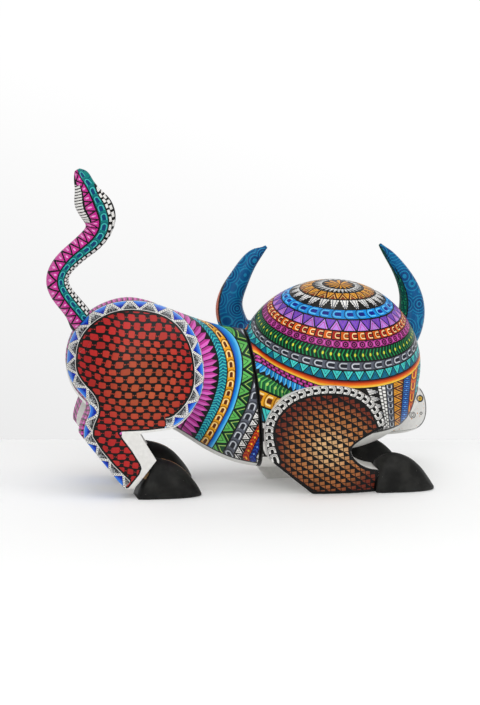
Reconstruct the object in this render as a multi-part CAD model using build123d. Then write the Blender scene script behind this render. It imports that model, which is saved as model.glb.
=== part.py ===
"""A painted wooden bull, carved in separate pieces that are pegged and glued together.

The bull bows on its front knees with its rump and tail up, and turns its big round head to its left.
Row frame: +X towards the bull's front, +Y to its left, +Z up, millimetres. The shapes are drawn in a design
frame whose plane y = 0 holds the spine and whose floor is z = 0; the last step slides everything so that the
origin is on the floor under the middle of the bounding box. The horns, ears and tail are glued to pegs that
pull out of their sockets; every other piece is glued on dowels.
"""

import os
from math import cos, radians, sin

from build123d import *

os.makedirs("parts", exist_ok=True)

# ---------------------------------------------------------------- driving dimensions
GLUE_GAP = 0.05  # radial room round a glued dowel
PULL_GAP = 0.08  # radial room round a peg that pulls out
SEAT_GAP = 0.30  # room between a pull-off piece and the surface it sits on

# Torso sections along X: (x, centre height, half height, half width)
RUMP_SECTION = (-97, 105, 50.5, 48)
RUMP_LENGTH = 52  # from the widest section to the back of the rump
RUMP_ANGLES = [86, 74, 58, 40, 20]  # degrees round the rump from the widest section
TORSO_SECTIONS = [
    RUMP_SECTION,
    (-69, 98.5, 48.5, 47.5),
    (-43, 85, 51, 48),
    (-17, 74.5, 54, 48),
    (8, 70, 55, 50),
    (34, 68, 49, 49),
    (60, 70, 34, 39),
]
NECK_X, NECK_Z, NECK_LEAN = -0.3, 72, -5.2  # neck joint: a point on it, and its lean in degrees

BALL_CENTRE, BALL_RADII = (66, 0, 96), (76, 67, 69)
FACE_CENTRE, FACE_RADII = (98, 44, 74), (42, 40, 42)
MUZZLE_CENTRE = (113, 68, 52)
MUZZLE_PROFILE = [  # the muzzle's radius at heights above or below its centre
    (0, -21.3), (24, -21.1), (32, -20.2), (36.5, -16.5), (39.3, -9), (39.5, -2), (38, 6), (34, 13), (26, 19), (0, 23),
]

# Leg outlines in the XZ plane
REAR_THIGH = [(-99, 154.5), (-77, 151.5), (-61, 143), (-50, 127), (-45.5, 103), (-49, 83), (-59, 66), (-73, 56.5)]
REAR_CROTCH = [(-98, 54), (-84, 31.5), (-101, 8)]
REAR_BACK = [(-109, 8), (-142, 50), (-140, 61), (-136, 73), (-146, 90), (-149.5, 108), (-147.5, 122), (-141, 136)]
REAR_TOP_BACK = (-123, 150)
FRONT_SHOULDER = [(9, 27), (4, 45), (4.5, 59), (11, 72), (24, 83.5), (40, 89), (57, 90), (73, 87), (86, 79), (95, 67)]
FRONT_THROAT = [(100, 55), (87, 49), (76, 38), (77.5, 28), (86, 21.5)]
FRONT_WRIST = (95, 19.5)
RIGHT_KNEE_X, LEFT_KNEE_X = 42, 27  # where the elbow meets the floor

LEG_INNER_Y = 22  # distance from the spine to a leg's inner face
LEG_OUTER_Y = 80
REAR_SWELL = (-97, 62, 102, 60)  # the widest section of the swell that rounds the rear legs' outer faces
REAR_SWELL_LENGTH = 59
REAR_SWELL_SECTIONS = [REAR_SWELL, (-69, 62, 102, 59), (-43, 62, 100, 57), (-17, 62, 98, 54)]
FRONT_SWELL = ((62, 0, 70), (92, 70, 110))
REAR_LEFT_SHIFT = 4  # the left rear leg stands further forward
FRONT_LEFT_SHIFT = -10  # the left foreleg kneels further back

HOOF_WIDTH, HOOF_MID_Y = 35, 40
REAR_HOOF = [(-84, 31.5), (-72, 28.5), (-61.5, 22.5), (-53.5, 14), (-48, 5), (-46.5, 0)]
REAR_HOOF_BACK = [(-99, 0), (-103, 5), (-101, 8)]
FRONT_HOOF = [(95, 28.5), (104, 30), (114, 29), (124, 25), (133, 17), (139, 8), (142, 0)]
FRONT_HOOF_BACK = [(95, 0)]
CLEFT_WIDTH, CLEFT_DEPTH = 3, 19

# Horn centre lines from inside the head to the tip, and the radius at each point
LEFT_HORN = [
    (24, 40, 107), (8, 44, 112), (-3, 47, 118), (-7.5, 49, 128), (-9, 50, 139),
    (-6.5, 50, 149), (-1, 50, 160), (6, 50, 172), (15, 50, 181.5), (21.5, 50, 186),
]
LEFT_HORN_RADII = [13, 13.2, 12.4, 11.6, 10.8, 9.8, 8.4, 6.8, 4.2, 1.5]
RIGHT_HORN = [
    (108, 22, 104), (122, 24, 108), (131, 26, 115), (136, 28, 126), (137.4, 30, 138),
    (136, 30, 148), (131.5, 30, 160), (124, 30, 172.5), (117, 30, 181.5), (110.8, 30, 188.8),
]
RIGHT_HORN_RADII = [12.5, 12.4, 11.8, 11, 10.3, 9, 7.2, 5.3, 3.6, 1.3]
LEFT_HORN_SEAT, LEFT_HORN_AXIS = (8, 44, 112), (-0.85, 0.45, 0.27)
RIGHT_HORN_SEAT, RIGHT_HORN_AXIS = (128, 27, 114), (0.85, 0.36, 0.38)
HORN_PEG_RADIUS, HORN_PEG_IN, HORN_PEG_OUT = 4, 16, 7

# Tail centre line in the XZ plane, with its half width across and its half depth
TAIL_LINE = [
    (-131, 131), (-140, 143), (-150, 156), (-155.5, 170), (-149, 183.5), (-136, 195),
    (-125, 205), (-121, 215), (-124, 228), (-130, 243), (-136, 258),
]
TAIL_WIDTHS = [10, 9.5, 9, 9, 9, 9.2, 10, 12, 13, 10, 3]
TAIL_DEPTHS = [9, 9, 8.5, 8, 8, 8, 8, 8, 8, 7, 2.5]
TAIL_SEAT, TAIL_AXIS = (-136, 0, 138), (-0.6, 0, 0.8)
TAIL_PEG_RADIUS, TAIL_PEG_IN, TAIL_PEG_OUT = 4, 20, 7

EAR_HALF_LENGTH, EAR_HALF_WIDTH, EAR_HALF_THICKNESS = 14, 8, 4
LEFT_EAR_SEAT, LEFT_EAR_AXIS = (17, 51.5, 92), (-0.5, 0.86, -0.03)
RIGHT_EAR_SEAT, RIGHT_EAR_AXIS = (123, 56, 100), (0.5, 0.45, 0.74)
EAR_PEG_RADIUS, EAR_PEG_IN, EAR_PEG_OUT = 2.5, 9, 6

DOWEL_RADIUS = 4
REAR_LEG_DOWEL, FRONT_LEG_DOWEL = (-95, 80), (60, 50)  # (x, z); each runs along Y
LEG_DOWEL_IN, LEG_DOWEL_OUT = 33, 53  # its two ends' distances from the spine
HOOF_DOWEL_HALF = 9
REAR_HOOF_JOINT = ((-92, 19), (0.81, -0.586))  # a hoof dowel's middle and its direction, in the XZ plane
FRONT_HOOF_JOINT = ((95, 10), (1, 0))
NECK_DOWEL_RADIUS, NECK_DOWEL_LENGTH = 10, 60


# ---------------------------------------------------------------- small helpers
def one(shape):
    """The largest solid of a boolean's result, so that no sliver stays with it."""
    return Part([max(shape.solids(), key=lambda solid: solid.volume)])


def ellipsoid(centre, radii, grow=0):
    """A solid ellipsoid with its axes along X, Y and Z."""
    return Pos(*centre) * scale(Sphere(1), by=tuple(radius + grow for radius in radii))


def section(x, centre_z, half_height, half_width):
    """One upright elliptical section across the spine."""
    plane = Plane(origin=(x, 0, centre_z), x_dir=(0, 1, 0), z_dir=(1, 0, 0))
    return plane * Ellipse(half_width, half_height)


def rounded_body(widest, length, sections, grow=0):
    """A loft whose back is rounded off behind its widest section."""
    x, centre_z, half_height, half_width = widest
    faces = []
    for angle in RUMP_ANGLES:
        shrink = cos(radians(angle))
        back = x - (length + grow) * sin(radians(angle))
        faces.append(section(back, centre_z, (half_height + grow) * shrink, (half_width + grow) * shrink))
    for place, middle, high, wide in sections:
        faces.append(section(place, middle, high + grow, wide + grow))
    return loft(faces)


def rod(middle, direction, back, front, radius):
    """A round rod that runs from back behind the middle point to front ahead of it, along direction."""
    plane = Plane(origin=middle, z_dir=direction)
    return plane * (Pos(0, 0, (front - back) / 2) * Cylinder(radius, front + back))


def upright(outline):
    """An outline in the XZ plane made solid on the bull's right side, from a leg's inner face outwards."""
    return Pos(0, -LEG_INNER_Y, 0) * extrude(make_face(outline), LEG_OUTER_Y - LEG_INNER_Y, dir=(0, -1, 0))


def tube(points, across, deep):
    """A loft of ellipses square to a line of points: across lies in the bend, deep along Y."""
    rings = []
    for i, point in enumerate(points):
        before = Vector(*points[max(i - 1, 0)])
        after = Vector(*points[min(i + 1, len(points) - 1)])
        tangent = (after - before).normalized()
        across_dir = Vector(0, 1, 0).cross(tangent).normalized()
        rings.append(Plane(origin=point, x_dir=across_dir, z_dir=tangent) * Ellipse(across[i], deep[i]))
    return loft(rings)


def to_left(shape, shift=0):
    """The right side's piece mirrored to the bull's left side and slid along X."""
    return Pos(shift, 0, 0) * mirror(shape, about=Plane.XZ)


def xz(points):
    """Points of an outline in the XZ plane."""
    return [Vector(x, 0, z) for x, z in points]


# ---------------------------------------------------------------- torso and head
def trunk_blank(grow=0):
    """The whole trunk from the rump to the chest, before the neck cut."""
    return rounded_body(RUMP_SECTION, RUMP_LENGTH, TORSO_SECTIONS, grow)


def in_front_of_neck():
    """A block that holds everything in front of the neck joint."""
    block = Box(400, 400, 400, align=(Align.MIN, Align.CENTER, Align.CENTER))
    return Pos(NECK_X, 0, NECK_Z) * Rot(0, NECK_LEAN, 0) * block


def head_blank(trunk, grow=0):
    """The ball, the chest under it, the face and the muzzle as one carving."""
    swollen = 1 + grow / MUZZLE_PROFILE[5][0]
    curve = Spline(*xz([(radius * swollen, height * swollen) for radius, height in MUZZLE_PROFILE]))
    muzzle = Pos(*MUZZLE_CENTRE) * revolve(make_face(curve + Line(curve @ 1, curve @ 0)), Axis.Z)
    solid = trunk + ellipsoid(BALL_CENTRE, BALL_RADII, grow)
    solid = solid & in_front_of_neck()
    return one(solid + ellipsoid(FACE_CENTRE, FACE_RADII, grow) + muzzle)


# ---------------------------------------------------------------- legs and hooves
def rear_leg_blank(shift=0):
    """A rear leg: the thigh, the hock behind it and the shank down to the hoof, domed outside."""
    bottom = Polyline(*xz([REAR_THIGH[-1], *REAR_CROTCH, REAR_BACK[0], REAR_BACK[1]]))
    back = Spline(*xz([*REAR_BACK[1:], REAR_TOP_BACK, REAR_THIGH[0]]))
    top = Spline(*xz(REAR_THIGH))
    swell = rounded_body(REAR_SWELL, REAR_SWELL_LENGTH, REAR_SWELL_SECTIONS)
    return (Pos(shift, 0, 0) * upright(bottom + back + top)) & swell


def front_leg_blank(knee_x, shift=0):
    """A foreleg folded under the chest: the upper arm, the elbow and the forearm along the floor."""
    shoulder = Spline(*xz([*FRONT_SHOULDER, FRONT_THROAT[0]]))
    throat = Spline(*xz([*FRONT_THROAT, FRONT_WRIST]))
    sole = Polyline(*xz([FRONT_WRIST, (FRONT_WRIST[0], 0), (knee_x, 0), FRONT_SHOULDER[0]]))
    return (Pos(shift, 0, 0) * upright(shoulder + throat + sole)) & ellipsoid(*FRONT_SWELL)


def hoof(top_line, back):
    """A cloven hoof: top_line runs from the leg to the toe, and back holds the corners that close it."""
    outline = Spline(*xz(top_line)) + Polyline(*xz([top_line[-1], *back, top_line[0]]))
    toe_x = top_line[-1][0]
    length = toe_x - min(point[0] for point in [*top_line, *back])
    block = upright(outline)
    dome = ellipsoid((toe_x - length * 0.6, -HOOF_MID_Y, -8), (length * 0.7, HOOF_WIDTH * 0.55, 46))
    cleft = Pos(toe_x, -HOOF_MID_Y, 20) * Box(2 * CLEFT_DEPTH, CLEFT_WIDTH, 60)
    return one((block & dome) - cleft)


# ---------------------------------------------------------------- ears
def ear(seat, axis):
    """A small leaf-shaped ear that stands on its seat."""
    leaf = ellipsoid((0, 0, EAR_HALF_LENGTH * 0.8), (EAR_HALF_WIDTH, EAR_HALF_THICKNESS, EAR_HALF_LENGTH))
    sideways = Vector(*axis).cross(Vector(0, 0, 1))
    return Plane(origin=seat, x_dir=sideways, z_dir=axis) * leaf


# ================================================================ build
trunk = trunk_blank()
head = head_blank(trunk)
torso = one(trunk - in_front_of_neck())
seat = one(trunk_blank(SEAT_GAP) + head_blank(trunk, SEAT_GAP))  # what the pull-off pieces are cut to

# Legs, hollowed to sit on the torso and the head, with their hooves.
rear_right_leg = one(rear_leg_blank() - trunk)
rear_left_leg = one(to_left(rear_leg_blank(REAR_LEFT_SHIFT)) - trunk)
front_right_leg = one(front_leg_blank(RIGHT_KNEE_X) - head - torso)
front_left_leg = one(to_left(front_leg_blank(LEFT_KNEE_X, FRONT_LEFT_SHIFT)) - head - torso)
rear_right_hoof = one(hoof(REAR_HOOF, REAR_HOOF_BACK) - rear_right_leg)
rear_left_hoof = to_left(rear_right_hoof, REAR_LEFT_SHIFT)
front_right_hoof = hoof(FRONT_HOOF, FRONT_HOOF_BACK)
front_left_hoof = to_left(front_right_hoof, FRONT_LEFT_SHIFT)

# Pull-off pieces, cut to sit on the carving.
tail_line = [(x, 0, z) for x, z in TAIL_LINE]
left_horn = one(tube(LEFT_HORN, LEFT_HORN_RADII, LEFT_HORN_RADII) - seat)
right_horn = one(tube(RIGHT_HORN, RIGHT_HORN_RADII, RIGHT_HORN_RADII) - seat)
tail = one(tube(tail_line, TAIL_WIDTHS, TAIL_DEPTHS) - seat)
left_ear = one(ear(LEFT_EAR_SEAT, LEFT_EAR_AXIS) - seat)
right_ear = one(ear(RIGHT_EAR_SEAT, RIGHT_EAR_AXIS) - seat)

# Pegs: each is glued into its pull-off piece and runs free in a socket in the carving.
def fit_peg(piece, body, seat_point, axis, radius, reach_in, reach_out):
    """Return the piece, the carving and the peg between them, with the piece's hole and the carving's socket."""
    peg = rod(seat_point, axis, reach_in, reach_out, radius)
    hole = rod(seat_point, axis, 0, reach_out + 0.2, radius + GLUE_GAP)
    hole += rod(seat_point, axis, reach_in, 0.5, radius + GLUE_GAP)
    socket = rod(seat_point, axis, reach_in + 1, reach_out + 30, radius + PULL_GAP)
    return one(piece - hole), one(body - socket), peg


left_horn, head, left_horn_peg = fit_peg(
    left_horn, head, LEFT_HORN_SEAT, LEFT_HORN_AXIS, HORN_PEG_RADIUS, HORN_PEG_IN, HORN_PEG_OUT)
right_horn, head, right_horn_peg = fit_peg(
    right_horn, head, RIGHT_HORN_SEAT, RIGHT_HORN_AXIS, HORN_PEG_RADIUS, HORN_PEG_IN, HORN_PEG_OUT)
left_ear, head, left_ear_peg = fit_peg(
    left_ear, head, LEFT_EAR_SEAT, LEFT_EAR_AXIS, EAR_PEG_RADIUS, EAR_PEG_IN, EAR_PEG_OUT)
right_ear, head, right_ear_peg = fit_peg(
    right_ear, head, RIGHT_EAR_SEAT, RIGHT_EAR_AXIS, EAR_PEG_RADIUS, EAR_PEG_IN, EAR_PEG_OUT)
tail, torso, tail_peg = fit_peg(
    tail, torso, TAIL_SEAT, TAIL_AXIS, TAIL_PEG_RADIUS, TAIL_PEG_IN, TAIL_PEG_OUT)


# Dowels: each is glued into a hole in both of its pieces.
def leg_dowel(place, side, shift, grow=0):
    """The dowel that holds a leg; side is -1 on the bull's right and 1 on its left."""
    x, z = place
    middle = (x + shift, side * (LEG_DOWEL_IN + LEG_DOWEL_OUT) / 2, z)
    half = (LEG_DOWEL_OUT - LEG_DOWEL_IN) / 2 + grow
    return rod(middle, (0, 1, 0), half, half, DOWEL_RADIUS + grow)


def hoof_dowel(joint, side, shift, grow=0):
    """The dowel between a leg's end and its hoof; joint is its middle and its direction in the XZ plane."""
    (x, z), (run, rise) = joint
    half = HOOF_DOWEL_HALF + grow
    return rod((x + shift, side * HOOF_MID_Y, z), (run, 0, rise), half, half, DOWEL_RADIUS + grow)


def neck_dowel(grow=0):
    """The thick dowel that holds the head on the torso."""
    half = NECK_DOWEL_LENGTH / 2 + grow
    return rod((NECK_X, 0, NECK_Z), (1, 0, 0), half, half, NECK_DOWEL_RADIUS + grow)


def drill(piece, makers):
    """Drill a hole into the piece for each dowel."""
    for maker in makers:
        piece = piece - maker(GLUE_GAP)
    return one(piece)


def leg_maker(place, side, shift=0):
    return lambda grow=0: leg_dowel(place, side, shift, grow)


def hoof_maker(joint, side, shift=0):
    return lambda grow=0: hoof_dowel(joint, side, shift, grow)


rear_right_pin = leg_maker(REAR_LEG_DOWEL, -1)
rear_left_pin = leg_maker(REAR_LEG_DOWEL, 1, REAR_LEFT_SHIFT)
front_right_pin = leg_maker(FRONT_LEG_DOWEL, -1)
front_left_pin = leg_maker(FRONT_LEG_DOWEL, 1, FRONT_LEFT_SHIFT)
rear_right_hoof_pin = hoof_maker(REAR_HOOF_JOINT, -1)
rear_left_hoof_pin = hoof_maker(REAR_HOOF_JOINT, 1, REAR_LEFT_SHIFT)
front_right_hoof_pin = hoof_maker(FRONT_HOOF_JOINT, -1)
front_left_hoof_pin = hoof_maker(FRONT_HOOF_JOINT, 1, FRONT_LEFT_SHIFT)

torso = drill(torso, [neck_dowel, rear_right_pin, rear_left_pin])
head = drill(head, [neck_dowel, front_right_pin, front_left_pin])
rear_right_leg = drill(rear_right_leg, [rear_right_pin, rear_right_hoof_pin])
rear_left_leg = drill(rear_left_leg, [rear_left_pin, rear_left_hoof_pin])
front_right_leg = drill(front_right_leg, [front_right_pin, front_right_hoof_pin])
front_left_leg = drill(front_left_leg, [front_left_pin, front_left_hoof_pin])
rear_right_hoof = drill(rear_right_hoof, [rear_right_hoof_pin])
rear_left_hoof = drill(rear_left_hoof, [rear_left_hoof_pin])
front_right_hoof = drill(front_right_hoof, [front_right_hoof_pin])
front_left_hoof = drill(front_left_hoof, [front_left_hoof_pin])

leg_pins = [rear_right_pin, rear_left_pin, front_right_pin, front_left_pin]
hoof_pins = [rear_right_hoof_pin, rear_left_hoof_pin, front_right_hoof_pin, front_left_hoof_pin]

nodes = {
    "torso": torso,
    "head": head,
    "rear_right_leg": rear_right_leg,
    "rear_left_leg": rear_left_leg,
    "front_right_leg": front_right_leg,
    "front_left_leg": front_left_leg,
    "rear_right_hoof": rear_right_hoof,
    "rear_left_hoof": rear_left_hoof,
    "front_right_hoof": front_right_hoof,
    "front_left_hoof": front_left_hoof,
    "left_horn": left_horn,
    "right_horn": right_horn,
    "left_ear": left_ear,
    "right_ear": right_ear,
    "tail": tail,
    "left_horn_peg": left_horn_peg,
    "right_horn_peg": right_horn_peg,
    "left_ear_peg": left_ear_peg,
    "right_ear_peg": right_ear_peg,
    "tail_peg": tail_peg,
    "neck_dowel": neck_dowel(),
    "leg_dowels": Part([maker().solid() for maker in leg_pins]),
    "hoof_dowels": Part([maker().solid() for maker in hoof_pins]),
}

# Slide everything so that the origin is on the floor under the middle of the bounding box.
boxes = [shape.bounding_box() for shape in nodes.values()]
low_x = min(box.min.X for box in boxes)
high_x = max(box.max.X for box in boxes)
low_y = min(box.min.Y for box in boxes)
high_y = max(box.max.Y for box in boxes)
low_z = min(box.min.Z for box in boxes)
slide = Pos(-(low_x + high_x) / 2, -(low_y + high_y) / 2, -low_z)
for name, shape in nodes.items():
    export_step(slide * shape, f"parts/{name}.step")
    print(name, len(shape.solids()), round(shape.volume), shape.is_valid)
print("slide", slide.position, "size", high_x - low_x, high_y - low_y)
for name, (seat_point, axis) in {
    "left_horn": (LEFT_HORN_SEAT, LEFT_HORN_AXIS),
    "right_horn": (RIGHT_HORN_SEAT, RIGHT_HORN_AXIS),
    "left_ear": (LEFT_EAR_SEAT, LEFT_EAR_AXIS),
    "right_ear": (RIGHT_EAR_SEAT, RIGHT_EAR_AXIS),
    "tail": (TAIL_SEAT, TAIL_AXIS),
}.items():
    print(name, "pulls along", Vector(*axis).normalized(), "from", Vector(*seat_point) + slide.position)
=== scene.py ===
"""Looks for a carved and painted wooden bull: its surfaces, painted patterns, studio and camera.

Shapes are worked out in millimetres in the carving's design frame (spine on y = 0, floor on z = 0,
+X towards the bull's front) and moved into the row frame in metres when a mesh is made. Painted areas
are described by number fields stored on the vertices (such as "band", which counts across the bands,
and "along", which runs along them) and drawn by node materials.
"""

from functools import partial
from math import cos, pi, radians, sin, sqrt

import bmesh
import bpy
import numpy as np
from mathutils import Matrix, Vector


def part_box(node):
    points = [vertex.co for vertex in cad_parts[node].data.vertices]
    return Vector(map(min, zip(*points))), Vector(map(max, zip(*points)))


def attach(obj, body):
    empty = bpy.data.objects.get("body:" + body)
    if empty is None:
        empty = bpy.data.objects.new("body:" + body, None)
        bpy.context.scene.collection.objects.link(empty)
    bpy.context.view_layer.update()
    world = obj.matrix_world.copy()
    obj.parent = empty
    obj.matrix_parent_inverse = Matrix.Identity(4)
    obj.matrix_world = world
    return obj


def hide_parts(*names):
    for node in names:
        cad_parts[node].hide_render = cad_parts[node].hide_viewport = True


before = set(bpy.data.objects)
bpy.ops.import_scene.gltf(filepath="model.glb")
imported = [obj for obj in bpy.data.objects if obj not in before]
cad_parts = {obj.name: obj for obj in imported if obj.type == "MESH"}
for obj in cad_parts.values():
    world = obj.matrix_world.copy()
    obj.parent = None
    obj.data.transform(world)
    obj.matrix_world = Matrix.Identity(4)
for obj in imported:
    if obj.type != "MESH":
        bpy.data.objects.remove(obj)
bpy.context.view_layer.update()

MM = 0.001
BALL_CENTRE, BALL_RADII = np.array([66.0, 0, 96]), np.array([76.0, 67, 69])
# The painted rings' pole, and the side of the ball where they are counted from.
RING_AXIS, RING_FRONT = np.array([0.06, -0.23, 0.971]), np.array([0.15, -0.98, 0.0])
NECK_X, NECK_Z, NECK_LEAN = -0.3, 72, radians(-5.2)
BLACK = (0.005, 0.005, 0.005, 1)
WHITE = (0.82, 0.81, 0.78, 1)

# The camera's turn from the bull's right side, its rise, what it aims at and how far off it stands.
CAMERA_TURN, CAMERA_RISE = radians(-9), radians(9)
CAMERA_TARGET, CAMERA_DISTANCE = np.array([-10.5, -15, 110]), 5000
# Outlines of painted areas are drawn on a flat pattern that faces the camera. What the camera aims at
# has this place on it.
PATTERN_SHIFT = np.array([-8, 106.2])

# The design frame's place in the row frame comes from the neck dowel, whose middle is known in both.
low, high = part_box("neck_dowel")
SLIDE = np.array((low + high) / 2) / MM - np.array([NECK_X, 0, NECK_Z])


# -------------------- numbers in a shader
class Pen:
    """The node tree that is being drawn in."""

    tree = None


class Wire:
    """A number in a shader. Arithmetic on it adds nodes."""

    def __init__(self, socket):
        self.socket = socket

    def __add__(self, other):
        return calc("ADD", self, other)

    __radd__ = __add__

    def __sub__(self, other):
        return calc("SUBTRACT", self, other)

    def __rsub__(self, other):
        return calc("SUBTRACT", other, self)

    def __mul__(self, other):
        return calc("MULTIPLY", self, other)

    __rmul__ = __mul__

    def __truediv__(self, other):
        return calc("DIVIDE", self, other)


def plug(socket, value):
    """Connect a wire or another socket to a socket, or set a plain value on it."""
    if isinstance(value, Wire):
        Pen.tree.links.new(value.socket, socket)
    elif isinstance(value, bpy.types.NodeSocket):
        Pen.tree.links.new(value, socket)
    else:
        socket.default_value = value


def add(kind, settings=None, **inputs):
    """A new node of a kind, with its settings made and then its inputs connected or set by name."""
    node = Pen.tree.nodes.new(f"ShaderNode{kind}")
    for name, value in (settings or {}).items():
        setattr(node, name, value)
    for name, value in inputs.items():
        plug(node.inputs[name.replace("_", " ")], value)
    return node


def calc(operation, *values):
    node = add("Math", {"operation": operation})
    for socket, value in zip(node.inputs, values):
        plug(socket, value)
    return Wire(node.outputs[0])


# Comparisons give 1 where they hold and 0 elsewhere. near takes a value, a middle and a reach.
under, over, near = (partial(calc, name) for name in ("LESS_THAN", "GREATER_THAN", "COMPARE"))
lower, higher = partial(calc, "MINIMUM"), partial(calc, "MAXIMUM")
fract, floor, size_of = (partial(calc, name) for name in ("FRACT", "FLOOR", "ABSOLUTE"))


def length(a, b):
    return calc("SQRT", a * a + b * b)


def away(x, y, z, spot):
    """Distance from x, y, z to a spot."""
    dx, dy, dz = x - spot[0], y - spot[1], z - spot[2]
    return calc("SQRT", dx * dx + dy * dy + dz * dz)


def ramp_up(value, start, end):
    """0 before start, 1 after end, smooth between."""
    node = add("MapRange", {"interpolation_type": "SMOOTHSTEP"}, Value=value, From_Min=start, From_Max=end)
    return Wire(node.outputs["Result"])


def paint_number(mask, first, second):
    """first where mask is 0, second where it is 1."""
    return first + mask * (second - first)


def paint(mask, under_colour, top_colour):
    """under_colour with top_colour over it where mask is 1."""
    node = add("Mix", {"data_type": "RGBA"}, Factor=mask, A=under_colour, B=top_colour)
    return node.outputs["Result"]


def coats(colour, *layers):
    """The colour with each layer, a mask and its colour, painted over it in turn."""
    for mask, top_colour in layers:
        colour = paint(mask, colour, top_colour)
    return colour


def shade(colour, amount):
    """The colour multiplied by a number."""
    settings = {"data_type": "RGBA", "blend_type": "MULTIPLY"}
    node = add("Mix", settings, Factor=1, A=colour, B=joined(amount, amount, amount))
    return node.outputs["Result"]


def field(name):
    """A number stored on the vertices."""
    return Wire(add("Attribute", {"attribute_name": name}).outputs["Fac"])


def row_place():
    """The point's x, y, z in the row frame, in metres."""
    split = add("SeparateXYZ", Vector=add("TexCoord").outputs["Object"])
    return [Wire(socket) for socket in split.outputs]


def place():
    """The point's x, y, z in the design frame, in millimetres."""
    return [value * (1 / MM) - float(shift) for value, shift in zip(row_place(), SLIDE)]


def joined(x, y, z):
    """A vector from three numbers."""
    return add("CombineXYZ", X=x, Y=y, Z=z).outputs[0]


def cloud(point, scale, detail=2.0):
    """Smooth noise about 0.5."""
    return Wire(add("TexNoise", Vector=point, Scale=scale, Detail=detail).outputs["Fac"])


def speckle(x, y):
    """A random number for each whole x and y."""
    node = add("TexWhiteNoise", {"noise_dimensions": "2D"}, Vector=joined(x, y, 0.0))
    return Wire(node.outputs["Value"])


def cells(point, scale, jitter=1.0):
    """The distance to the nearest of many scattered spots."""
    node = add("TexVoronoi", {"feature": "F1"}, Vector=point, Scale=scale, Randomness=jitter)
    return Wire(node.outputs["Distance"])


MOST_ROWS = 32  # a ramp holds no more stops than this


def table(index, rows):
    """For each whole index, that row's colour or numbers, as a colour socket."""
    node = add("ValToRGB", Fac=(index + 0.5) / MOST_ROWS)
    steps = node.color_ramp
    steps.interpolation = "CONSTANT"
    for i, row in enumerate(rows):
        stop = steps.elements[0] if i == 0 else steps.elements.new(i / MOST_ROWS)
        stop.position = i / MOST_ROWS
        stop.color = (*row[:3], 1)
    while len(steps.elements) > len(rows):
        steps.elements.remove(steps.elements[len(rows)])
    return node.outputs[0]


def material(name, draw, roughness=0.38, coat=0.06):
    """A painted wood material: draw returns its colour and a height for its relief. Brush marks vary the
    colour a little, and uneven varnish varies the roughness."""
    mark_depth, brush_share, varnish_share = 0.00025, 0.24, 0.22
    made = bpy.data.materials.new(name)
    made.use_nodes = True
    Pen.tree = made.node_tree
    shader = Pen.tree.nodes["Principled BSDF"]
    colour, height = draw()
    x, y, z = place()
    point = joined(x, y, z)
    brush = cloud(point, 0.35, 4.0)
    varnish = cloud(point, 0.12, 3.0)
    plug(shader.inputs["Base Color"], shade(colour, brush * brush_share + (1 - brush_share / 2)))
    plug(shader.inputs["Roughness"], varnish * varnish_share + (roughness - varnish_share / 2))
    shader.inputs["Coat Weight"].default_value = coat
    shader.inputs["Coat Roughness"].default_value = 0.25
    shader.inputs["Specular IOR Level"].default_value = 0.14
    bump = add("Bump", Strength=0.35, Distance=mark_depth, Height=height * 0.8 + brush * 0.35)
    Pen.tree.links.new(bump.outputs[0], shader.inputs["Normal"])
    return made


# -------------------- painted motifs
GRADIENT, TRIANGLES, ARCHES, PETALS, STROKES, RINGS, SHELLS, SPIKES, BRICKS = range(9)
# A table holds numbers from 0 to 1, so motif numbers and cell counts are divided by these to go in it.
MOTIF_SPAN, CELLS_SPAN = 16, 256


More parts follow.
